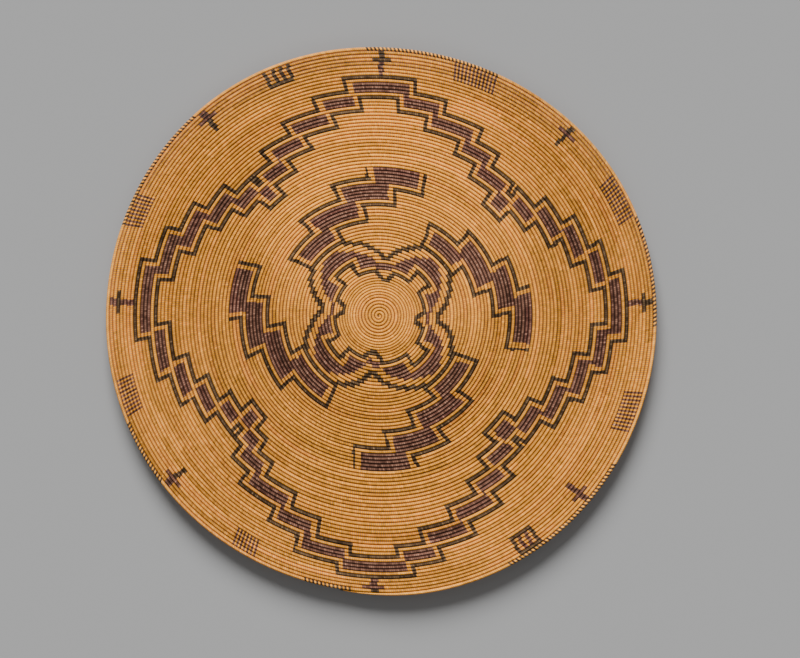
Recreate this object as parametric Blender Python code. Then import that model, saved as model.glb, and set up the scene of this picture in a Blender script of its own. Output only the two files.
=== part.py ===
# Coiled basketry gambling tray, for Blender 4.5. Metres, +Z up.
# One bundle of grass stems winds outward from a start knot, turn on turn, into a wide shallow dish.
# The bundle is fed in lengths, so each stretch of the coil is its own piece, butted on the next.
# The origin is the centre of the start knot's underside. +Y is the top of the woven design,
# and angles run clockwise from it, the way the coil winds.

import math

import bpy
import numpy as np

# The coil
coil_pitch = 0.00424  # from one turn to the next, on the whole
coil_height = 0.0046
turn_clearance = 0.0005  # air between one turn and the next
joint_gap = 0.0003  # between the end faces of two lengths
knot_gap = 0.0005  # from the knot's step to the joint before the first length
first_turn_radius = 0.0043
start_angle = math.radians(357)
steps_per_turn = 26
coarse_turns = 27.5  # up to here a turn has half as many corners
fine_turns = 49  # from here a turn has all its corners on the true curve
# The turns aren't quite even, and they are finer near the middle. Each pair is a turn and how far it lies
# outside an even spiral, in pitches.
turn_shifts = [
    (0, 0), (1, -0.05), (5, -0.25), (8, -0.78), (11, -1.50), (14, -2.02), (16, -2.22), (23, -2.27), (27, -2.39),
    (35, -2.64), (39, -2.87), (43, -3.05), (47, -3.07), (51, -2.95), (59, -2.73), (63, -2.57), (67, -2.53),
    (71, -2.61), (75, -2.77), (78, -2.92), (81, -3.0),
]

# The dish
foot_radius = 0.080  # the flat ground that the tray stands on
foot_cut = 0.0005  # how deep the turns on the ground are worn flat
rim_rise = 0.022  # from the flat foot up to the last turn
dish_curve = 1.7  # 1 is a cone, higher numbers keep the middle flatter
# No turn is a true circle about the knot. Each wave has its count round a turn, its share of the radius
# and the angle of its crest.
outline_waves = [
    (1, 0.0192, math.radians(173)),
    (2, 0.0055, math.radians(118)),
    (3, 0.0030, math.radians(65)),
    (4, 0.0042, math.radians(60)),
]

# The end of the coil
tail_turns = 0.1
tail_end_share = 0.3  # of the coil's own thickness, at the tip

# Each length's name, its turns, whether it lies on the ground, and its colour
lengths = [
    ("coil_centre", 15, True, (0.50, 0.25, 0.083)),
    ("coil_quatrefoil", 12.5, True, (0.30, 0.14, 0.055)),
    ("coil_arms_inner", 9.75, False, (0.40, 0.19, 0.065)),
    ("coil_arms_outer", 10.75, False, (0.42, 0.20, 0.068)),
    ("coil_band_inner", 10, False, (0.46, 0.215, 0.070)),
    ("coil_band_middle", 8.5, False, (0.41, 0.19, 0.066)),
    ("coil_band_outer", 7.5, False, (0.40, 0.185, 0.064)),
    ("coil_border", 5.53, False, (0.46, 0.22, 0.072)),
    ("coil_rim", 0.9, False, (0.40, 0.19, 0.066)),
]
knot_colour = (0.52, 0.27, 0.10)
tail_colour = (0.46, 0.22, 0.072)
fibre_roughness = 0.62

turns = sum(length[1] for length in lengths) + tail_turns
coil_width = coil_pitch - turn_clearance
centre_height = coil_height / 2 - foot_cut  # of the coil's middle over the ground, on the flat foot
# A turn is a polygon. Its corners stand a little outside the true curve, so its sides lie as far inside it.
corner_swell = 2 / (1 + math.cos(math.pi / steps_per_turn))


def clear_scene():
    for old in list(bpy.data.objects):
        bpy.data.objects.remove(old)


def new_collection(name):
    collection = bpy.data.collections.new(name)
    bpy.context.scene.collection.children.link(collection)
    return collection


def fibre_material(name, colour):
    material = bpy.data.materials.new(name)
    material.use_nodes = True
    shader = material.node_tree.nodes["Principled BSDF"]
    shader.inputs["Base Color"].default_value = (*colour, 1)
    shader.inputs["Roughness"].default_value = fibre_roughness
    shader.inputs["Metallic"].default_value = 0
    return material


def turn_at(step):
    return step / steps_per_turn


def angle_at(step):
    return start_angle + 2 * math.pi * turn_at(step)


def radius_of_turn(turn):
    shift = np.interp(turn, [pair[0] for pair in turn_shifts], [pair[1] for pair in turn_shifts])
    return first_turn_radius + coil_pitch * (turn + shift)


def radius_at(step):
    return radius_of_turn(turn_at(step))


# The coil is as thick as the finer of the two spaces beside it allows. 1 is its full thickness.
def thickness_at(step):
    turn = turn_at(step)
    space = radius_of_turn(turn + 1) - radius_of_turn(turn)
    if turn > 1:
        space = min(space, radius_of_turn(turn) - radius_of_turn(turn - 1))
    return min(1, (space - turn_clearance) / coil_width)


# The turns lie wider apart where the outline stands out from the circle.
# The coil is thicker there in the same measure, which keeps the turns close all the way round.
def fullness_at(step):
    angle = angle_at(step)
    return 1 + sum(share * math.cos(count * (angle - crest)) for count, share, crest in outline_waves)


def dish_rise(radius):
    outward = max(0, radius - foot_radius) / (radius_of_turn(turns) - foot_radius)
    return rim_rise * outward**dish_curve


# The coil's middle on the true curve, moved outward by a share of the local pitch.
def curve_point(step, outward_share):
    angle = angle_at(step)
    radius = radius_at(step) + outward_share * coil_pitch
    reach = corner_swell * radius * fullness_at(step)
    return np.array([
        reach * math.sin(angle),
        reach * math.cos(angle),
        centre_height * fullness_at(step) * thickness_at(step) + dish_rise(radius),
    ])


# Odd corners start on the straight side between their neighbours, where a turn has half as many corners,
# and come out to the true curve little by little, so that no wide slit opens between two turns.
def corner_point(step, outward_share):
    on_curve = curve_point(step, outward_share)
    if step % 2 == 0:
        return on_curve
    before = curve_point(step - 1, outward_share)
    after = curve_point(step + 1, outward_share)
    roundness = (turn_at(step) - coarse_turns) / (fine_turns - coarse_turns)
    roundness = min(1, max(0, roundness))
    return on_curve * roundness + (before + after) / 2 * (1 - roundness)


# A length may end part of the way along a straight side.
def coil_point(step, outward_share=0.0):
    corner = math.floor(step)
    share = step - corner
    here = corner_point(corner, outward_share)
    following = corner_point(corner + 1, outward_share)
    return here * (1 - share) + following * share


def is_corner(step):
    return step % 2 == 0 or turn_at(step) > coarse_turns


# How much of a step a small distance along the coil takes up.
def share_of_step(distance, step):
    half_step = np.linalg.norm(coil_point(step + 0.25) - coil_point(step - 0.25))
    return distance / half_step / 2


# The corners between two places on the coil, and the two places, each drawn in by half a joint gap.
def stops_between(first, last):
    corners = [step for step in range(math.floor(first) + 1, math.ceil(last)) if is_corner(step)]
    start = first + share_of_step(joint_gap / 2, first)
    end = last - share_of_step(joint_gap / 2, last)
    return [start, *corners, end]


def section_curve(name, corners):
    curve = bpy.data.curves.new(name, "CURVE")
    curve.dimensions = "2D"
    spline = curve.splines.new("POLY")
    spline.points.add(len(corners) - 1)
    for point, (across, up) in zip(spline.points, corners):
        point.co = (across, up, 0, 1)
    spline.use_cyclic_u = True
    section = bpy.data.objects.new(name, curve)
    section.hide_render = True
    section.display_type = "WIRE"
    return section


def dish_section():
    half_width = coil_width / 2
    half_height = coil_height / 2
    corners = [(half_width, 0), (0, -half_height), (-half_width, 0), (0, half_height)]
    return section_curve("section_dish", corners)


def foot_section():
    half_width = coil_width / 2
    half_height = coil_height / 2
    half_flat = half_width * foot_cut / half_height
    corners = [(half_width, 0), (half_flat, foot_cut - half_height)]
    corners += [(-half_flat, foot_cut - half_height), (-half_width, 0), (0, half_height)]
    return section_curve("section_foot", corners)


def coil_length(name, points, fullness, section, material):
    curve = bpy.data.curves.new(name, "CURVE")
    curve.dimensions = "3D"
    curve.twist_mode = "Z_UP"
    curve.bevel_mode = "OBJECT"
    curve.bevel_object = section
    curve.use_fill_caps = True
    spline = curve.splines.new("POLY")
    spline.points.add(len(points) - 1)
    for point, place, size in zip(spline.points, points, fullness):
        point.co = (*place, 1)
        point.radius = size
    curve.materials.append(material)
    return bpy.data.objects.new(name, curve)


# The curled tip of the bundle: its edge keeps its distance to the first turn, whose end face meets its step.
def start_knot():
    corners = [step for step in range(steps_per_turn + 1) if is_corner(step)]
    curve = bpy.data.curves.new("start_knot", "CURVE")
    curve.dimensions = "2D"
    curve.fill_mode = "BOTH"
    curve.extrude = (centre_height + coil_height / 2) / 2
    spline = curve.splines.new("POLY")
    spline.points.add(len(corners) - 1)
    for point, step in zip(spline.points, corners):
        inner_share = -(coil_width * thickness_at(step) / 2 + turn_clearance) / coil_pitch
        across, along, _ = coil_point(step, inner_share)
        point.co = (across, along, 0, 1)
    spline.use_cyclic_u = True
    curve.materials.append(fibre_material("start_knot", knot_colour))
    knot = bpy.data.objects.new("start_knot", curve)
    knot.location.z = curve.extrude
    return knot


# The last stretch grows thinner towards its tip and stays against the turn inside it.
def coil_tail(first, last, section):
    points = []
    fullness = []
    for step in stops_between(first, last):
        thinned = 1 - (1 - tail_end_share) * (step - first) / (last - first)
        inward_share = (1 - thinned) * coil_width / 2 / coil_pitch
        points.append(coil_point(step, -inward_share))
        fullness.append(fullness_at(step) * thickness_at(step) * thinned)
    return coil_length("coil_tail", points, fullness, section, fibre_material("coil_tail", tail_colour))


# The least air between one turn's outer edge and the next turn's inner edge, on points along the whole coil.
def least_turn_gap():
    edge_share = coil_width / 2 / coil_pitch
    last_step = int((turns - 1 - tail_turns) * steps_per_turn)
    outer_edge = np.array([corner_point(step, edge_share * thickness_at(step)) for step in range(last_step)])
    following = [step + steps_per_turn for step in range(last_step)]
    inner_edge = np.array([corner_point(step, -edge_share * thickness_at(step)) for step in following])
    side = inner_edge[1:] - inner_edge[:-1]
    least = math.inf
    for shift in (0, 1):
        from_start = outer_edge[shift : len(side) + shift] - inner_edge[:-1]
        along = np.clip((from_start * side).sum(axis=1) / (side * side).sum(axis=1), 0, 1)
        gaps = np.linalg.norm(from_start - side * along[:, None], axis=1)
        least = min(least, gaps.min())
    return least


def build_tray():
    clear_scene()
    tray = new_collection("gambling_tray")
    guides = new_collection("guides")
    on_dish = dish_section()
    on_ground = foot_section()
    guides.objects.link(on_dish)
    guides.objects.link(on_ground)
    tray.objects.link(start_knot())
    first = share_of_step(knot_gap, 0)
    for name, length_turns, lies_on_ground, colour in lengths:
        last = math.floor(first + length_turns * steps_per_turn) + 0.5
        stops = stops_between(first, last)
        points = [coil_point(step) for step in stops]
        fullness = [fullness_at(step) * thickness_at(step) for step in stops]
        section = on_ground if lies_on_ground else on_dish
        tray.objects.link(coil_length(name, points, fullness, section, fibre_material(name, colour)))
        first = last
    tray.objects.link(coil_tail(first, turns * steps_per_turn, on_dish))
    print(f"least gap between turns: {least_turn_gap() * 1000:.2f} mm")


build_tray()
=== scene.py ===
import math

import bpy
import numpy as np
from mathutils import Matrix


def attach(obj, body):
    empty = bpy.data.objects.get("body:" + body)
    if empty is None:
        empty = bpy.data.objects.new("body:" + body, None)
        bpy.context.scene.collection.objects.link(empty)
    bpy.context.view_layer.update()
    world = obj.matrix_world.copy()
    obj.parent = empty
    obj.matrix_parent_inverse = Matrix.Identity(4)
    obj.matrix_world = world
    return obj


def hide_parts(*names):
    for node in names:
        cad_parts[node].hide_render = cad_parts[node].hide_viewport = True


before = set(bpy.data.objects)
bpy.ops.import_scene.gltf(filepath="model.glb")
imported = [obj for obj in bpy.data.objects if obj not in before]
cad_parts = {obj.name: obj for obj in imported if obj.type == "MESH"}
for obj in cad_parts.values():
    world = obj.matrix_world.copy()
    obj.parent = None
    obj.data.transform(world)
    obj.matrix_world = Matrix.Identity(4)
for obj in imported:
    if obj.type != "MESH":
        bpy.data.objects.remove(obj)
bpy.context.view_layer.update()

# The coil: one bundle that winds outward from the knot, clockwise from above. Angles are in degrees,
# counted from +Y the way it winds. These are the CAD source's own sizes, in metres.
coil = {
    "pitch": 0.00424,
    "height": 0.0046,
    "firstRadius": 0.0043,
    "startAngle": 357,
    "shifts": [  # each is a turn and how far it lies outside an even spiral, in pitches
        (-2, 0), (0, 0), (1, -0.05), (5, -0.25), (8, -0.78), (11, -1.50), (14, -2.02), (16, -2.22),
        (23, -2.27), (27, -2.39), (35, -2.64), (39, -2.87), (43, -3.05), (47, -3.07), (51, -2.95),
        (59, -2.73), (63, -2.57), (67, -2.53), (71, -2.61), (75, -2.77), (78, -2.92), (81, -3.0), (82, -3.0),
    ],
    "waves": [(1, 0.0192, 173), (2, 0.0055, 118), (3, 0.0030, 65), (4, 0.0042, 60)],  # count, share, crest
    "settled": [  # small moves that the CAD leaves out. Each is a turn, then in millimetres its shift to
        # the right and up the design, and its swell all round, at two ends and at three corners.
        (-2, -0.6, -1.5, 0, 0, 0),
        (8, -0.6, -1.2, -0.3, 0.3, 0),
        (18, -0.5, -0.8, -0.3, 0.6, 0),
        (35, -0.4, -0.1, -0.3, 0.3, 0),
        (52, 0.1, -0.5, -0.2, 0.2, 0),
        (62, 0, -1.1, -0.6, 0, -0.3),
        (68, -0.1, -1.5, -1.1, 0, -0.6),
        (75, 0.1, -0.7, -0.9, -0.2, -0.5),
        (81, 0.3, 0, 0, 0, 0),
    ],
    "footRadius": 0.080,
    "footCut": 0.0005,
    "rimRise": 0.022,
    "dishCurve": 1.7,
    "lastTurn": 80.53,
    "cornersPerTurn": 26,  # of the CAD source, which joins its lengths half way between two
    "lengths": [  # the name and turns of each
        ("coil_centre", 15),
        ("coil_quatrefoil", 12.5),
        ("coil_arms_inner", 9.75),
        ("coil_arms_outer", 10.75),
        ("coil_band_inner", 10),
        ("coil_band_middle", 8.5),
        ("coil_band_outer", 7.5),
        ("coil_border", 5.53),
        ("coil_rim", 0.9),
    ],
}


def radiusAt(turn):
    turns, shifts = zip(*coil["shifts"])
    return coil["firstRadius"] + coil["pitch"] * (turn + np.interp(turn, turns, shifts))


def turnAtRadius(radius):
    turns = np.array(coil["shifts"])[:, 0]
    return float(np.interp(radius, radiusAt(turns), turns))


def angleAt(turn):
    return coil["startAngle"] + 360 * turn


def outlineAt(angle):  # how far the tray's outline stands out from a circle, at this angle
    swell = 1
    for count, share, crest in coil["waves"]:
        swell = swell + share * np.cos(np.radians(count * (angle - crest)))
    return swell


def dishRise(radius):
    rimRadius = radiusAt(coil["lastTurn"])
    outward = np.maximum(0, radius - coil["footRadius"]) / (rimRadius - coil["footRadius"])
    return coil["rimRise"] * outward ** coil["dishCurve"]


# A place on the ground plan, at a distance outward from the middle line of a turn
def placeAt(turn, outward):
    turns, right, up, swell, ends, corners = np.array(coil["settled"]).T
    angle = angleAt(turn)
    along = np.radians(angle)
    swelling = np.interp(turn, turns, swell) + np.interp(turn, turns, ends) * np.cos(2 * along)
    swelling = swelling + np.interp(turn, turns, corners) * np.cos(3 * along)
    reach = radiusAt(turn) * outlineAt(angle) + swelling / 1000 + outward
    across = reach * np.sin(along) + np.interp(turn, turns, right) / 1000
    return across, reach * np.cos(along) + np.interp(turn, turns, up) / 1000


def widthAt(turn):  # half the space between the turns on each side
    acrossIn, upIn = placeAt(turn - 1, 0)
    acrossOut, upOut = placeAt(turn + 1, 0)
    return np.hypot(acrossOut - acrossIn, upOut - upIn) / 2


# Points on the coil: across is outward and up is upward, both in halves of the coil's own width and height
def coilPoints(turn, inset, width, across, up):
    outward = across * width / 2 - inset
    right, back = placeAt(turn, outward)
    lift = (coil["height"] / 2 - coil["footCut"] + up * coil["height"] / 2) * width / coil["pitch"]
    height = dishRise(radiusAt(turn) + outward / outlineAt(angleAt(turn))) + lift
    return np.stack([right, back, np.maximum(0, height)], axis=-1)


# The stitches: a root strand passes over the coil, shifting forward on its way inward, and comes back
# under it
stitches = {
    "sides": 8,  # of the coil's section
    "grooveWidth": 0.955,  # of the coil's own width, where two stitches meet
    "grooveHeight": 0.86,
    "crownWidth": 1.0,
    "crownHeight": 1.04,
    "shift": 0.55,  # over the top, in stitches
    "rimShift": 1.1,  # on the last turn
    "shiftGrows": 20,  # stitches, from the one to the other
    "width": 0.00246,  # the widest, where the coil gets its next count of stitches to a turn
    "spread": 1.11,  # how much further out each next count starts
    "rowShift": 0.25,  # of a stitch, from one turn to the next
    "rimTurns": 6,
    "rimCount": 850,  # stitches to a turn in the last turns
    "rimRowShift": 0.4,
}
knot = {
    "stitches": 10,
    "turns": 1.15,
    "crowding": 0.7,  # below 1, its innermost stitches each take more of a turn
    "radius": 0.0009,  # of its middle line, a turn before the coil starts
    "width": 0.0026,  # there
}


# Stitches counted along the coil: constant to a turn over some turns, so that they line up in columns
def countStitches():
    edges = [coil["lastTurn"] + 1, coil["lastTurn"] - stitches["rimTurns"]]
    counts = [stitches["rimCount"] + stitches["rimRowShift"]]
    while edges[-1] > 0:
        widest = radiusAt(edges[-1])
        counts.append(math.ceil(2 * math.pi * widest / stitches["width"]) + stitches["rowShift"])
        edges.append(max(0, turnAtRadius(widest / stitches["spread"])))
    edges.reverse()
    counts.reverse()
    total = np.concatenate([[0], np.cumsum(np.diff(edges) * counts)])
    return np.array(edges), total


stitchEdges, stitchTotals = countStitches()


def stitchAt(turn):
    return int(round(float(np.interp(turn, stitchEdges, stitchTotals))))


rimStart = stitchAt(coil["lastTurn"] - 1)


def shiftAt(stitch):
    grown = np.clip((stitch - rimStart) / stitches["shiftGrows"], 0, 1)
    return stitches["shift"] + (stitches["rimShift"] - stitches["shift"]) * grown


def turnOf(stitch):  # stitches before the first turn are the knot's
    inKnot = np.clip(1 + stitch / knot["stitches"], 0, 1)
    before = -knot["turns"] * (1 - inKnot ** knot["crowding"])
    return np.where(stitch < 0, before, np.interp(stitch, stitchTotals, stitchEdges))


# One stitch is modelled by hand: a ring of the coil, drawn out to its crown and on to the next groove
def modelStitch():
    if bpy.context.object and bpy.context.object.mode != "OBJECT":
        bpy.ops.object.mode_set(mode="OBJECT")
    bpy.ops.object.select_all(action="DESELECT")
    bpy.ops.mesh.primitive_circle_add(vertices=stitches["sides"], radius=1, rotation=(0, math.pi / 2, 0))
    model = bpy.context.object
    bpy.ops.object.transform_apply(location=True, rotation=True, scale=True)
    bpy.ops.object.mode_set(mode="EDIT")
    bpy.ops.mesh.select_all(action="SELECT")
    groove = (1, stitches["grooveWidth"], stitches["grooveHeight"])
    crown = (1, stitches["crownWidth"], stitches["crownHeight"])
    bpy.ops.transform.resize(value=groove)
    bpy.ops.mesh.extrude_region_move(TRANSFORM_OT_translate={"value": (0.5, 0, 0)})
    bpy.ops.transform.resize(value=tuple(c / g for c, g in zip(crown, groove)))
    bpy.ops.mesh.extrude_region_move(TRANSFORM_OT_translate={"value": (0.5, 0, 0)})
    bpy.ops.transform.resize(value=tuple(g / c for c, g in zip(crown, groove)))
    bpy.ops.object.mode_set(mode="OBJECT")
    points = np.array([vertex.co for vertex in model.data.vertices])
    bpy.data.objects.remove(model)
    rings = []
    for place in (0, 0.5):
        ring = points[np.abs(points[:, 0] - place) < 0.01]
        turned = np.round(np.degrees(np.arctan2(ring[:, 2], ring[:, 1])) % 360, 3) % 360
        rings.append(ring[np.argsort(turned)][:, 1:])
    return np.array(rings)


stitchModel = modelStitch()
print("stitch modelled:", stitchModel.shape)

# The design is drawn in whole stitches. Its rings are the turns, counted so that the last turn is ring 76,
# and a new ring starts at the angle where the coil ends.
tan, brown, black = 0, 1, 2
lastRing = 76
newRingAngle = angleAt(coil["lastTurn"]) % 360


def within(angle, start, end):
    return (angle - start) % 360 <= (end - start)


# Columns of stitches lean back against the winding, so a bar that follows them drifts with the ring
def columnShift(ring, middleRing):
    drift = stitches["rowShift"] * stitches["width"] / coil["pitch"]
    toTurn = coil["lastTurn"] - lastRing - 0.5
    return np.degrees(drift) * np.log(radiusAt(ring + toTurn) / radiusAt(middleRing + toTurn))


# A stair is a line of black stitches. Each step is a ring and the angle up to which the line runs on it,
# half way along the bar to the next step. A column of stitches is known by its angle at the middle ring.
stairs = {
    "lineHalf": 0.0023,  # half the width of a black bar
    "fillClear": 0.0075,  # from the middle of a bar to the brown fill beside it
    "fillRings": 2,  # from a line's ring to the first ring of the fill
    "sameAngle": 0.01,  # a step this near the coil's end is the one where the ring changes
    "seamReach": 20,  # degrees each side of it where a ring is looked up on its own side
    "seamStep": 0.001,
}


class Stair:
    def __init__(self, steps, middleRing, start=0):
        self.middle = middleRing
        self.start = start
        self.rings = np.array([ring for ring, _ in steps])
        following = np.roll(self.rings, -1)
        ends = np.array([end for _, end in steps], float)
        self.ends = ends + columnShift((self.rings + following) / 2, middleRing)
        self.seam = self.ends[np.abs(ends - newRingAngle) < stairs["sameAngle"]]

    # Where the coil ends, the next ring begins, and a stair has a step that isn't seen
    def ringAt(self, column, afterSeam):
        place = (column - self.start) % 360 + self.start
        for seam in self.seam:
            nearSeam = np.abs(place - seam) < stairs["seamReach"]
            place = np.where(nearSeam & afterSeam, np.maximum(place, seam + stairs["seamStep"]), place)
            place = np.where(nearSeam & ~afterSeam, np.minimum(place, seam), place)
        return self.rings[np.minimum(np.searchsorted(self.ends, place), len(self.rings) - 1)]

    # The line's lowest and highest ring, within half a bar's width to each side
    def around(self, angle, ring, half):
        column = angle + columnShift(ring, self.middle)
        found = []
        for share in (-1, -0.5, 0, 0.5, 1):
            afterSeam = angle + half * share >= newRingAngle
            ringsBack = (afterSeam * 1 - (angle >= newRingAngle)) * len(self.seam)
            found.append(self.ringAt(column + half * share, afterSeam) - ringsBack)
        return np.min(found, axis=0), np.max(found, axis=0)


def onLine(stair, angle, ring, half):
    low, high = stair.around(angle, ring, half)
    return (ring >= low) & (ring <= high)


def between(outer, inner, angle, ring, half):
    low = inner.around(angle, ring, half)[1] + stairs["fillRings"]
    high = outer.around(angle, ring, half)[0] - stairs["fillRings"]
    return (ring >= low) & (ring <= high)


def barAngles(radius):  # in degrees: half a bar's width, and from its middle to the fill
    return np.degrees(stairs["lineHalf"] / radius), np.degrees(stairs["fillClear"] / radius)


band = {
    "middleRing": 58,
    "outer": [
        (68, 8.9), (64, 17.6), (60, 29.0), (56, 37.0), (52, 45.9), (49, 47.7), (52, 54.9), (56, 62.9),
        (60, 71.6), (64, 79.5), (68, 95.9), (64, 104.4), (60, 113.4), (56, 122.8), (52, 131.2),
        (49, 132.9), (52, 140.3), (56, 147.1), (60, 156.3), (64, 165.2), (68, 172.3), (71, 187.8),
        (72, 189.5), (69, 200.3), (64, 208.6), (60, 219.9), (56, 226.5), (52, 230.3), (49, 231.8),
        (52, 238.8), (56, 245.9), (60, 254.2), (64, 264.5), (68, 283.7), (64, 292.9), (60, 301.8),
        (56, 310.5), (52, 316.7), (49, 318.2), (52, 324.5), (56, 333.4), (60, 343.3), (64, 351.7),
        (68, 360),
    ],
    "inner": [
        (62, 5.2), (58, 13.7), (54, 24.8), (50, 32.7), (46, 42.7), (42, 51.8), (46, 59.5), (50, 67.8),
        (54, 75.4), (58, 83.0), (62, 92.1), (58, 100.6), (54, 109.6), (50, 118.9), (46, 127.9),
        (42, 137.8), (46, 145.0), (50, 151.8), (54, 160.5), (58, 169.1), (62, 175.6), (65, 187.0),
        (62, 187.8), (63, 196.2), (58, 204.9), (54, 215.7), (50, 221.9), (46, 227.3), (42, 236.0),
        (46, 242.6), (50, 250.4), (54, 258.2), (58, 267.8), (62, 279.7), (58, 288.1), (54, 297.7),
        (50, 306.1), (46, 313.7), (42, 321.6), (46, 329.6), (50, 337.8), (54, 347.0), (58, 354.9),
        (62, 360),
    ],
}


def drawBand(colour, angle, ring, radius):
    outer = Stair(band["outer"], band["middleRing"])
    inner = Stair(band["inner"], band["middleRing"])
    lineHalf, clear = barAngles(radius)
    colour[between(outer, inner, angle, ring, clear)] = brown
    colour[onLine(outer, angle, ring, lineHalf) | onLine(inner, angle, ring, lineHalf)] = black


arms = {
    "middleRing": 31,
    "topRing": 41,
    "before": 30,  # degrees from where an arm's stairs begin, unseen, to its first bar
    "beyond": 300,  # and from there to where they end, unseen
    "each": [  # the first bar, then the stairs above and below the fill
        (
            30.5,
            [(28, 47.7), (33, 66.0), (38, 79.3)],
            [(21, 60.2), (25, 77.6), (30, 89.7), (35, 103.9)],
        ),
        (
            116.1,
            [(28, 133.3), (33, 152.0), (38, 165.8)],
            [(21, 147.1), (25, 162.9), (30, 176.7), (35, 190.0)],
        ),
        (
            211.0,
            [(28, 233.3), (33, 252.7), (38, 268.2)],
            [(21, 246.7), (25, 264.7), (30, 278.9), (35, 291.4)],
        ),
        (
            303.2,
            [(28, 320.8), (33, 340.6), (38, 355.0)],
            [(21, 334.3), (25, 352.2), (30, 367.4), (35, 379.1)],
        ),
    ],
}


def drawArms(colour, angle, ring, radius):
    lineHalf, clear = barAngles(radius)
    middle = arms["middleRing"]
    top = arms["topRing"]
    for start, above, below in arms["each"]:
        stairStart = start - arms["before"]
        stairEnd = (top + 2, start + arms["beyond"])
        lowest = below[0][0]
        outer = Stair([(lowest, start)] + above + [stairEnd], middle, stairStart)
        inner = Stair(below + [stairEnd], middle, stairStart)
        place = (angle - stairStart) % 360 + stairStart
        ownRing = ring - ((start < newRingAngle) & (place >= newRingAngle))
        column = place + columnShift(ownRing, middle)
        first = start + columnShift((lowest + above[0][0]) / 2, middle)
        last = below[-1][1] + columnShift((below[-1][0] + top) / 2, middle)
        onRings = (ownRing >= lowest) & (ownRing <= top)
        near = onRings & (column > first - lineHalf) & (column < last + lineHalf)
        inside = near & (column > first + clear) & (column < last - clear)
        fill = between(outer, inner, place, ownRing, clear) & inside
        line = onLine(outer, place, ownRing, lineHalf) | onLine(inner, place, ownRing, lineHalf)
        colour[fill] = brown
        colour[near & line] = black


flower = {
    "outerMiddle": 17,
    "outer": [
        (16, 0.2), (15, 3.6), (14, 10.2), (15, 12.8), (16, 15.8), (17, 19.2), (18, 23.0), (19, 27.8),
        (20, 32.0), (21, 59.5), (20, 65.2), (19, 70.5), (18, 76.0), (17, 80.3), (16, 84.8), (15, 88.0),
        (14, 96.0), (15, 98.8), (16, 100.6), (17, 102.6), (18, 106.6), (19, 113.6), (20, 119.6),
        (21, 146.4), (20, 153.0), (19, 159.6), (18, 165.8), (17, 171.2), (16, 176.8), (15, 180.0),
        (14, 183.7), (13, 187.8), (14, 189.6), (15, 191.6), (16, 193.8), (17, 197.0), (18, 200.8),
        (19, 206.2), (20, 211.6), (21, 246.0), (20, 252.5), (19, 257.2), (18, 260.8), (17, 265.8),
        (16, 269.6), (15, 273.0), (14, 280.4), (15, 283.0), (16, 286.0), (17, 289.2), (18, 293.0),
        (19, 297.5), (20, 304.0), (21, 334.5), (20, 339.6), (19, 347.0), (18, 351.4), (17, 355.8),
        (16, 360),
    ],
    "innerMiddle": 10,
    "inner": [
        (9, 1.2), (8, 4.6), (7, 14.8), (8, 17.4), (9, 20.0), (10, 86.8), (9, 89.2), (8, 92.0), (7, 100.6),
        (8, 103.0), (9, 105.4), (10, 175.5), (9, 178.0), (8, 181.5), (7, 184.5), (6, 187.8), (7, 191.5),
        (8, 196.0), (9, 199.5), (10, 268.5), (9, 271.4), (8, 275.0), (7, 285.4), (8, 287.8), (9, 290.0),
        (10, 357.5), (9, 360),
    ],
    "lineHalf": 0.0022,
    "clear": 8,  # degrees from the line's steps to the fill
    "dipClear": 3.7,
    "waists": [  # between two lobes: the middle, half the width in degrees, and the rings of the fill
        (6, 9.5, 11, 12),
        (93, 6.5, 11, 11),
        (186.5, 8, 10, 11),
        (278, 7.5, 11, 11),
    ],
    "doors": [(41.6, 59.5), (125.7, 145.0), (222.1, 243.0), (312.2, 332.0)],
    "doorRings": (10, 14),
    "doorBar": 2.1,  # degrees, half a bar
    "doorClear": 6.8,
}


def drawFlower(colour, angle, ring, radius):
    outer = Stair(flower["outer"], flower["outerMiddle"])
    inner = Stair(flower["inner"], flower["innerMiddle"])
    lineHalf = np.degrees(flower["lineHalf"] / radius)
    low = inner.around(angle, ring, flower["dipClear"])[1] + stairs["fillRings"]
    high = outer.around(angle, ring, flower["clear"])[0] - stairs["fillRings"]
    fill = (ring >= low) & (ring <= high)
    for middle, half, lowest, highest in flower["waists"]:
        atWaist = within(angle, middle - half, middle + half)
        fill = np.where(atWaist, (ring >= lowest) & (ring <= highest), fill)
    line = onLine(outer, angle, ring, lineHalf) | onLine(inner, angle, ring, lineHalf)
    bottom, top = flower["doorRings"]
    clear, bar = flower["doorClear"], flower["doorBar"]
    for left, right in flower["doors"]:
        fill &= ~(within(angle, left - clear, right + clear) & (ring <= top + 1))
        line &= ~(within(angle, left + bar, right - bar) & (ring < top))
        bars = within(angle, left - bar, left + bar) | within(angle, right - bar, right + bar)
        line |= bars & (ring >= bottom) & (ring <= top)
        line |= within(angle, left, right) & (ring == top)
    colour[fill] = brown
    colour[line] = black


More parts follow.
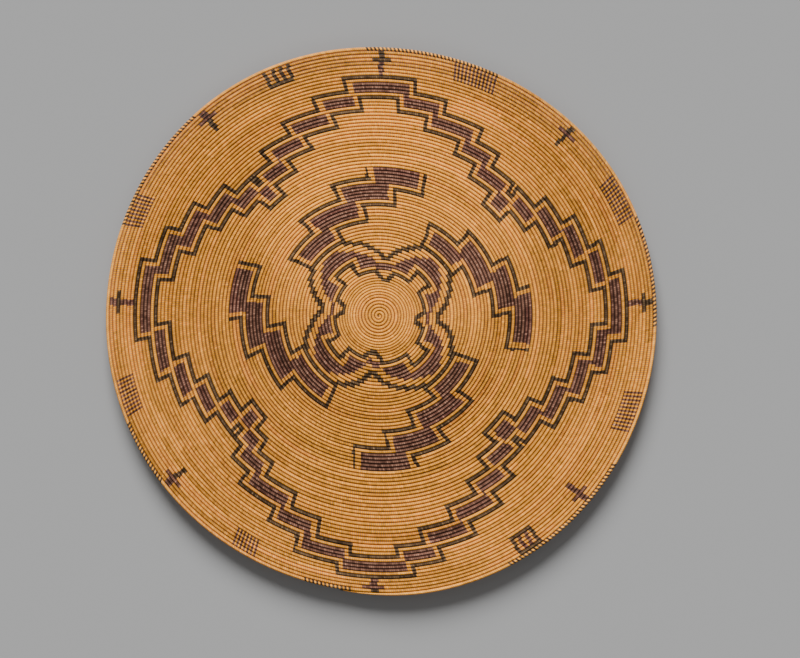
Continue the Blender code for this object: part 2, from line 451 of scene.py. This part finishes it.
border = {
    "crosses": [  # angle, rings of foot, arms and top, then stitches and colour of foot, head and arms
        (0.35, (69, 73, 75), (3, brown), (3, black), (10, black)),
        (46.0, (69, 73, 75), (2, black), (3, black), (11, brown)),
        (87.15, (69, 73, 75), (3, brown), (3, black), (10, black)),
        (131.8, (69, 73, 75), (3, brown), (3, brown), (10, brown)),
        (181.15, (72, 74, 75), (4, brown), (4, black), (11, brown)),  # over the high step
        (231.65, (69, 73, 75), (3, black), (4, brown), (11, brown)),
        (272.9, (69, 73, 75), (3, brown), (4, brown), (12, black)),
        (318.8, (69, 73, 75), (3, black), (4, brown), (11, brown)),
    ],
    "checks": [  # start and end
        (17.2, 26.8), (59.0, 68.9), (106.2, 116.2), (207.3, 213.8), (248.4, 256.8), (289.4, 297.0),
    ],
    "checkRings": (71, 75),
    "gate": ([144.7, 146.25, 147.8, 149.4], (70, 75), True),  # bars, rings, and whether it has a top bar
    "comb": ([334.5, 336.4, 338.1, 339.75], (71, 75), False),
    "barWidth": 2,  # stitches
    "ticks": [  # ring, start and end
        (76, 357.2, 386.3),
        (76, 68.6, 92.7),
        (76, 122.5, 152.4),
        (75, 186.2, 187.8),
        (76, 187.8, 196.2),
        (76, 232.9, 246.5),
        (76, 288.8, 317.1),
    ],
}


# A bar so many stitches wide has that many on each ring, wherever the columns of stitches lie
def onBar(angle, middle, width):
    half = width * 180 / (stitches["rimCount"] + stitches["rimRowShift"])
    return ((angle - middle + half) % 360) < 2 * half


def drawCrosses(colour, angle, ring):
    for middle, (foot, armRing, top), *parts in border["crosses"]:
        onRings = (ring >= foot) & (ring < armRing), (ring > armRing) & (ring <= top), ring == armRing
        for (width, partColour), onRing in zip(parts, onRings):
            colour[onBar(angle, middle, width) & onRing] = partColour


def drawGrille(colour, angle, ring, bars, rings, closed):
    low, high = rings
    for bar in bars:
        inside = closed and bar not in (bars[0], bars[-1])
        onIt = onBar(angle, bar, border["barWidth"]) & (ring >= low) & (ring <= high)
        colour[onIt] = brown if inside else black
    half = border["barWidth"] * 180 / stitches["rimCount"]
    across = within(angle, bars[0] - half, bars[-1] + half)
    colour[across & ((ring == low) | (closed & (ring == high)))] = black


def drawBorder(colour, angle, ring, stitch):
    drawCrosses(colour, angle, ring)
    darkStitch = stitch % 2 == 0
    low, high = border["checkRings"]
    ringLean = 360 * stitches["rimRowShift"] / stitches["rimCount"]
    for start, end in border["checks"]:
        leaning = angle + (ring - (low + high) / 2) * ringLean
        colour[within(leaning, start, end) & (ring >= low) & (ring <= high) & darkStitch] = brown
    for grille in (border["gate"], border["comb"]):
        drawGrille(colour, angle, ring, *grille)
    for tickRing, start, end in border["ticks"]:
        colour[within(angle, start, end) & (ring == tickRing) & darkStitch] = black


# A stitch has the design's colour at the place where its middle crosses the top of the coil
def chooseColours():
    stitch = np.arange(stitchAt(coil["lastTurn"]) + 1)
    turn = turnOf(stitch + 0.5 + shiftAt(stitch) / 2)
    ring = lastRing + np.ceil(np.minimum(turn - coil["lastTurn"], 0)).astype(int)
    angle = angleAt(turn) % 360
    radius = radiusAt(turn)
    colour = np.full(len(stitch), tan)
    drawFlower(colour, angle, ring, radius)
    drawArms(colour, angle, ring, radius)
    drawBand(colour, angle, ring, radius)
    drawBorder(colour, angle, ring, stitch)
    return colour


stitchColours = chooseColours()
print("stitches coloured:", len(stitchColours), "brown", int((stitchColours == brown).sum()),
      "black", int((stitchColours == black).sum()))

# Strands: each is good for some dozens of stitches, and the next one has another tone
strands = {
    "seed": 12,
    "shortest": 14,
    "longest": 60,
    "paleShare": 0.04,  # some strands are much paler than the rest
    "paleTone": 2.6,
    "wornRim": 2.0,  # how much paler the last turn's tan stitches are
    "margin": 200,  # stitches kept before the first and after the last
}


def chooseTones():
    random = np.random.RandomState(strands["seed"])
    count = len(stitchColours) + 2 * strands["margin"]
    lengths = random.randint(strands["shortest"], strands["longest"], count // strands["shortest"])
    strand = np.repeat(np.arange(len(lengths)), lengths)[:count]
    tone = random.normal(0, 1, len(lengths))
    pale = random.random_sample(len(lengths)) < strands["paleShare"]
    hue = random.normal(0, 1, len(lengths))
    speck = random.normal(0, 1, count)
    worn = (stitchColours == tan) & (np.arange(len(stitchColours)) >= rimStart)
    speck[strands["margin"] : -strands["margin"]] += worn * strands["wornRim"]
    return {"tone": np.where(pale, strands["paleTone"], tone)[strand], "hue": hue[strand], "speck": speck}


stitchTones = chooseTones()


# Shaders: a signal is a socket that can be reckoned with
class Signal:
    def __init__(self, shader, socket):
        self.shader = shader
        self.socket = socket

    def worked(self, operation, *values):
        return self.shader.node("ShaderNodeMath", {"operation": operation}, dict(enumerate(values)))

    def __add__(self, other):
        return self.worked("ADD", self, other)

    def __radd__(self, other):
        return self.worked("ADD", other, self)

    def __sub__(self, other):
        return self.worked("SUBTRACT", self, other)

    def __rsub__(self, other):
        return self.worked("SUBTRACT", other, self)

    def __mul__(self, other):
        return self.worked("MULTIPLY", self, other)

    def __rmul__(self, other):
        return self.worked("MULTIPLY", other, self)

    def __abs__(self):
        return self.worked("ABSOLUTE", self)

    def atLeast(self, low):
        return self.worked("MAXIMUM", self, low)

    def clamped(self, low, high):
        return self.worked("MINIMUM", self.atLeast(low), high)

    def swung(self, amount):  # noise of 0 to 1, made to swing this far to each side of 0
        return (self - 0.5) * (amount * 2)

    def between(self, low, high):  # 0 below low, 1 above high, smooth in the middle
        values = {"Value": self, "From Min": low, "From Max": high}
        return self.shader.node("ShaderNodeMapRange", {"interpolation_type": "SMOOTHSTEP"}, values)


class Shader:
    def __init__(self, name):
        self.material = bpy.data.materials.new(name)
        self.material.use_nodes = True
        self.tree = self.material.node_tree
        self.tree.nodes.clear()

    def node(self, kind, settings=None, values=None, output=0):
        made = self.tree.nodes.new(kind)
        for name, value in (settings or {}).items():
            setattr(made, name, value)
        for name, value in (values or {}).items():
            if isinstance(value, Signal):
                self.tree.links.new(value.socket, made.inputs[name])
            else:
                made.inputs[name].default_value = value
        return Signal(self, made.outputs[output]) if made.outputs else made

    def attribute(self, name):
        return self.node("ShaderNodeAttribute", {"attribute_name": name}, output="Fac")

    def vector(self, operation, values, output="Vector"):
        return self.node("ShaderNodeVectorMath", {"operation": operation}, values, output)

    def mixed(self, factor, first, second):  # the colour sockets of the Mix node are 6, 7 and 2
        settings = {"data_type": "RGBA", "clamp_factor": True}
        return self.node("ShaderNodeMix", settings, {0: factor, 6: first, 7: second}, output=2)

    def noise(self, vector, scale, detail, roughness):
        values = {"Vector": vector, "Scale": scale, "Detail": detail, "Roughness": roughness}
        return self.node("ShaderNodeTexNoise", {}, values)

    def finish(self, values):
        surface = self.node("ShaderNodeBsdfPrincipled", {}, values)
        self.node("ShaderNodeOutputMaterial", {}, {"Surface": surface})


def linear(red, green, blue):  # from a colour as it is seen, 0 to 255
    parts = [part / 255 for part in (red, green, blue)]
    return tuple(p / 12.92 if p < 0.04045 else ((p + 0.055) / 1.055) ** 2.4 for p in parts) + (1,)


root = {  # what the three sewing strands have in common
    "toneSpread": 0.10,  # from one strand to another
    "hueSpread": 0.22,
    "grooveEdge": 0.26,  # from a stitch's middle to the start of the groove beside it, at 0.5
    "grooveShade": 0.75,
    "moreInGrooves": 0.15,  # more painted shade in the grooves near the rim
    "valleyEdge": 0.27,  # of side, which is 0.5 on top of the coil, 0.25 between two turns and 0 below
    "valleyShade": 0.56,
    # less painted shade in the valleys near the rim, and a paler painted shade colour there
    "lessAtRim": 0.34,
    "paleAtRim": 0.4,
    "rimRadii": (0.16, 0.27),
    "crownEdge": 0.41,
    # painted highlight: the crowns of the coil are painted lighter
    "wornCrown": 0.27,
    "fibreScale": (5, 3),  # across a strand and along it
    "fibreApart": (31, 17),  # so that each strand has fibres of its own
    "fibre": 0.22,
    "stainScale": 9,
    "stain": 0.13,
    "dustScale": 420,
    "dust": 0.1,
    "paintedLightCentre": (0.02, 0.13, 0),  # painted light: the tray is painted paler round this place, towards the top of the picture where the light comes from
    "paintedLightRadii": (0.125, 0.20),
    "paintedLight": 0.36,
    "light": 0.75,
    "lightRange": (0.4, 1.8),
    "roughness": 0.60,
    "fibreRoughness": 0.125,
    "grooveRoughness": 0.1,
    "roughnessRange": (0.3, 0.95),
    "specular": 0.03,
    "bump": 0.35,
    "bumpDepth": 0.0004,
    "fibreHeight": 0.5,  # of a groove's depth
}
finishes = [
    {
        "name": "sedge_root",
        "colour": (255, 166, 6),
        "redder": (246, 142, 16),
        "shade": (124, 106, 106),
        "pale": (255, 208, 110),
        "spread": 1,  # times toneSpread
        "speck": 0.09,  # from one stitch to the next
        "worn": 0.05,  # how much paler its crowns are, by wear and by a painted sheen
        "paleSpeck": 0.10,
    },
    {
        "name": "redbud_bark",
        "colour": (122, 84, 68),
        "redder": (114, 66, 60),
        "shade": (60, 36, 28),
        "pale": (190, 150, 124),
        "spread": 1.2,
        "speck": 0.2,
        "worn": 0.18,
        "paleSpeck": 0.16,
    },
    {
        "name": "bracken_root",
        "colour": (92, 72, 52),
        "redder": (86, 60, 44),
        "shade": (50, 30, 18),
        "pale": (150, 130, 98),
        "spread": 1.2,
        "speck": 0.2,
        "worn": 0.18,
        "paleSpeck": 0.16,
    },
]


def strandMaterial(finish):
    shader = Shader(finish["name"])
    place = shader.node("ShaderNodeTexCoord", output="Object")
    onStrand = {"Vector": shader.node("ShaderNodeUVMap", {"uv_map": "strand"})}
    across, along = [shader.node("ShaderNodeSeparateXYZ", {}, onStrand, axis) for axis in ("X", "Y")]
    tone, hue, stitchSpeck = [shader.attribute(name) for name in ("tone", "hue", "speck")]

    # Fibres run along the strand, so they are fine across it and long along it
    (scaleAcross, scaleAlong), (toneApart, hueApart) = root["fibreScale"], root["fibreApart"]
    fibrePlace = {"X": across * scaleAcross + tone * toneApart, "Y": along * scaleAlong, "Z": hue * hueApart}
    fibreVector = shader.node("ShaderNodeCombineXYZ", {}, fibrePlace)
    fibre = shader.noise(fibreVector, scale=1, detail=3, roughness=0.6)
    stain = shader.noise(place, root["stainScale"], detail=3, roughness=0.55)
    dust = shader.noise(place, root["dustScale"], detail=2, roughness=0.6)

    # Painted shade between two stitches, between two turns and under the coil
    groove = abs(across - 0.5).between(root["grooveEdge"], 0.5)
    side = abs(abs(along - 0.25) - 0.5)
    nearRim = shader.vector("LENGTH", {0: place}, "Value").between(*root["rimRadii"])
    valleyShade = root["valleyShade"] - nearRim * root["lessAtRim"]
    valley = (1 - side.between(root["valleyEdge"], 0.5)) * valleyShade
    shadeShare = (groove * (root["grooveShade"] + nearRim * root["moreInGrooves"])).atLeast(valley)
    # the painted shade's colour, paler near the rim
    shade = {0: linear(*finish["shade"])[:3], "Scale": 1 + nearRim * root["paleAtRim"]}

    # Light and dark, by strand, stitch, fibre and stain, with painted light round the top of the tray and a
    # painted highlight on the crowns
    crown = side.between(root["crownEdge"], 0.5)
    # Painted light: paler round a place towards the top of the tray
    fromPaintedLight = shader.vector("DISTANCE", {0: place, 1: root["paintedLightCentre"]}, "Value")
    paintedLight = 1 - fromPaintedLight.between(*root["paintedLightRadii"])
    light = root["light"] + tone * (root["toneSpread"] * finish["spread"]) + stitchSpeck * finish["speck"]
    light = light + fibre.swung(root["fibre"]) + stain.swung(root["stain"]) + dust.swung(root["dust"])
    light = (light + paintedLight * root["paintedLight"] + crown * root["wornCrown"]).clamped(*root["lightRange"])

    redder = (hue * root["hueSpread"]).clamped(0, 1)
    # The crowns are mixed toward a pale colour: wear, and a painted sheen with painted glints that differ
    # from stitch to stitch; none in the grooves
    paler = (stitchSpeck * finish["paleSpeck"] + finish["worn"]).clamped(0, 1) * crown * (1 - groove)
    colour = shader.mixed(redder, linear(*finish["colour"]), linear(*finish["redder"]))
    colour = shader.mixed(paler, colour, linear(*finish["pale"]))
    colour = shader.mixed(shadeShare, colour, shader.vector("SCALE", shade))
    roughness = root["roughness"] + fibre.swung(root["fibreRoughness"]) + groove * root["grooveRoughness"]
    height = fibre * root["fibreHeight"] + (1 - groove)
    bump = {"Strength": root["bump"], "Distance": root["bumpDepth"], "Height": height}
    shader.finish({
        "Base Color": shader.vector("SCALE", {0: colour, "Scale": light}),
        "Roughness": roughness.clamped(*root["roughnessRange"]),
        "Specular IOR Level": root["specular"],
        "Normal": shader.node("ShaderNodeBump", {}, bump),
    })
    return shader.material


strandMaterials = [strandMaterial(finish) for finish in finishes]
print("strands finished:", len(strandMaterials))


# Sewing: a piece is the coil between two stitches, each stitch one turn of a strand round it and two rings
# of points. The strand comes back a stitch further on, so two more points lie past the last ring.
def sewnPoints(first, count, insetAndWidth):
    sides = stitches["sides"]
    innerSide = sides // 2  # side 0 is at the coil's outer edge, and they are counted over its top
    ring = np.append(np.repeat(np.arange(2 * count + 1), sides), [2 * count + 1, 2 * count + 2])
    side = np.append(np.tile(np.arange(sides), 2 * count + 1), [0, 0])
    place = first + ring / 2
    shift = shiftAt(place)
    over = shift * side / innerSide
    under = shift + (1 - shift) * (side - innerSide) / (sides - innerSide)
    turn = turnOf(place + np.where(side <= innerSide, over, under))
    shape = stitchModel[ring % 2, side]
    return coilPoints(turn, *insetAndWidth(turn), shape[:, 0], shape[:, 1])


# A point's number. The side after the last is the first side of the next stitch, two rings further on.
def pointAt(ring, side, count):
    sides = stitches["sides"]
    ring = np.where(side == sides, ring + 2, ring)
    pastEnd = (2 * count + 1) * sides + ring - (2 * count + 1)
    return np.where(ring <= 2 * count, ring * sides + side % sides, pastEnd)


def endLoops(count):  # the points round the open start and round the open end
    sides = stitches["sides"]
    start = [(0, 0), (1, 0), (2, 0)] + [(0, side) for side in range(sides - 1, 0, -1)]
    end = [(2 * count, side) for side in range(sides)] + [(2 * count, sides), (2 * count - 1, sides)]
    return [[int(pointAt(ring, side, count)) for ring, side in loop] for loop in (start, end)]


def meshOf(name, points, quads, fans):
    mesh = bpy.data.meshes.new(name)
    corners = np.concatenate([quads.ravel(), np.ravel(fans)])
    sizes = np.concatenate([np.full(len(quads), 4), np.full(len(fans), 3)])
    mesh.vertices.add(len(points))
    mesh.vertices.foreach_set("co", points.ravel())
    mesh.loops.add(len(corners))
    mesh.loops.foreach_set("vertex_index", corners)
    mesh.polygons.add(len(sizes))
    mesh.polygons.foreach_set("loop_start", np.cumsum(sizes) - sizes)
    mesh.polygons.foreach_set("use_smooth", np.full(len(sizes), True))
    return mesh


def colourFaces(mesh, stitch):
    for material in strandMaterials:
        mesh.materials.append(material)
    known = np.clip(stitch, 0, len(stitchColours) - 1)
    mesh.polygons.foreach_set("material_index", np.where(stitch < 0, tan, stitchColours[known]))
    inTones = known + strands["margin"] + np.minimum(stitch, 0)
    for attribute, values in stitchTones.items():
        data = mesh.attributes.new(attribute, "FLOAT", "FACE").data
        data.foreach_set("value", values[inTones].astype(np.float32))


# The UV map holds each face's place on its strand: across the stitch, and once round the coil
def layStrands(mesh, ring, side, fanCorners):
    left = (ring % 2) / 2
    right = left + 0.5
    bottom = side / stitches["sides"]
    top = bottom + 1 / stitches["sides"]
    onStrand = np.stack([left, bottom, left, top, right, top, right, bottom])
    onStrand = np.append(onStrand.T.ravel(), np.full(2 * fanCorners, 0.5))
    mesh.uv_layers.new(name="strand").data.foreach_set("uv", onStrand.astype(np.float32))


def sewPiece(name, first, last, insetAndWidth):
    count = last - first
    points = sewnPoints(first, count, insetAndWidth)
    grid = np.meshgrid(np.arange(2 * count), np.arange(stitches["sides"]), indexing="ij")
    ring, side = grid[0].ravel(), grid[1].ravel()
    corners = [(ring, side), (ring, side + 1), (ring + 1, side + 1), (ring + 1, side)]
    quads = np.stack([pointAt(*corner, count) for corner in corners], axis=1)
    loops = endLoops(count)
    fans = []
    fanStitches = []
    for end, loop in enumerate(loops):
        fans += [(here, after, len(points) + end) for here, after in zip(loop, loop[1:] + loop[:1])]
        fanStitches += [end * (count - 1)] * len(loop)
    points = np.concatenate([points, [points[loop].mean(axis=0) for loop in loops]])

    mesh = meshOf(name, points, quads, fans)
    colourFaces(mesh, first + np.append(ring // 2, fanStitches))
    layStrands(mesh, ring, side, 3 * len(fans))
    mesh.update()
    mesh.validate()
    piece = bpy.data.objects.new(name + "_sewn", mesh)
    bpy.context.scene.collection.objects.link(piece)
    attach(piece, "root")
    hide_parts(name)
    print(name, count, "stitches,", sum(len(face.vertices) - 2 for face in mesh.polygons), "triangles")


def fullCoil(turn):
    return 0, widthAt(turn)


def knotCoil(turn):
    grown = np.minimum(turn + 1, 1)
    radius = knot["radius"] + (coil["firstRadius"] - knot["radius"]) * grown
    return radiusAt(turn) - radius, knot["width"] + (widthAt(np.zeros(1)) - knot["width"]) * grown


tail = {
    "share": 0.3,  # of the full thickness, at the tip
    "curve": 1.6,  # above 1, most of the thinning is near the tip
}


def tailCoil(turn):
    along = np.clip((turn - tailStart) / (coil["lastTurn"] - tailStart), 0, 1)
    width = widthAt(turn) * (1 - (1 - tail["share"]) * along ** tail["curve"])
    return (widthAt(turn) - width) / 2, width


sewPiece("start_knot", -knot["stitches"], 0, knotCoil)
turnsSoFar = 0
stitchSoFar = 0
for lengthName, lengthTurns in coil["lengths"]:
    jointCorner = math.floor((turnsSoFar + lengthTurns) * coil["cornersPerTurn"]) + 0.5
    turnsSoFar = jointCorner / coil["cornersPerTurn"]
    sewPiece(lengthName, stitchSoFar, stitchAt(turnsSoFar), fullCoil)
    stitchSoFar = stitchAt(turnsSoFar)
tailStart = float(turnOf(stitchSoFar))
sewPiece("coil_tail", stitchSoFar, stitchAt(coil["lastTurn"]), tailCoil)
print("tray sewn")


# The studio: a plain grey floor, a broad light from the top of the picture and a weak one from its foot
studio = {
    "floorColour": (158, 158, 158),
    "floorRoughness": 0.9,
    "floorSpecular": 0.1,
    "floorSize": 14,
    "brightness": 1.3,
    "surround": 0.16,  # the three shares make up the light on the floor
    "suns": [  # name, share, then in degrees its height over the floor, where it comes from, and its width
        ("key", 0.78, 37, 352, 34),
        ("fill", 0.06, 60, 180, 40),
    ],
    "sunHeight": 3,  # only for the eye, a sun shines the same from anywhere
    "cameraPlace": (0.0250, -0.0173),
    "cameraHeight": 8,
    "pictureWidth": 0.9711,  # of the floor, in metres
    "sensor": 36,
    "clipEnd": 100,
}


def makeFloor():
    bpy.ops.object.select_all(action="DESELECT")
    bpy.ops.mesh.primitive_plane_add(size=studio["floorSize"])
    floor = bpy.context.object
    floor.name = "floor"
    shader = Shader("floor")
    shader.finish({
        "Base Color": linear(*studio["floorColour"]),
        "Roughness": studio["floorRoughness"],
        "Specular IOR Level": studio["floorSpecular"],
    })
    floor.data.materials.append(shader.material)


def makeSun(name, share, height, compass, width):
    light = bpy.data.lights.new(name, "SUN")
    light.energy = studio["brightness"] * share * math.pi / math.sin(math.radians(height))
    light.angle = math.radians(width)
    sun = bpy.data.objects.new(name, light)
    sun.rotation_euler = (math.radians(90 - height), 0, math.radians(180 - compass))
    sun.location = (0, 0, studio["sunHeight"])
    bpy.context.scene.collection.objects.link(sun)


def makeCamera():
    camera = bpy.data.cameras.new("camera")
    camera.sensor_width = studio["sensor"]
    camera.lens = studio["sensor"] * studio["cameraHeight"] / studio["pictureWidth"]
    camera.clip_end = studio["clipEnd"]
    viewer = bpy.data.objects.new("camera", camera)
    viewer.location = (*studio["cameraPlace"], studio["cameraHeight"])
    bpy.context.scene.collection.objects.link(viewer)
    bpy.context.scene.camera = viewer


def makeSurround():
    world = bpy.data.worlds.new("studio")
    world.use_nodes = True
    background = world.node_tree.nodes["Background"]
    background.inputs["Color"].default_value = (1, 1, 1, 1)
    background.inputs["Strength"].default_value = studio["brightness"] * studio["surround"]
    bpy.context.scene.world = world


makeFloor()
for sun in studio["suns"]:
    makeSun(*sun)
makeCamera()
makeSurround()
print("studio set")
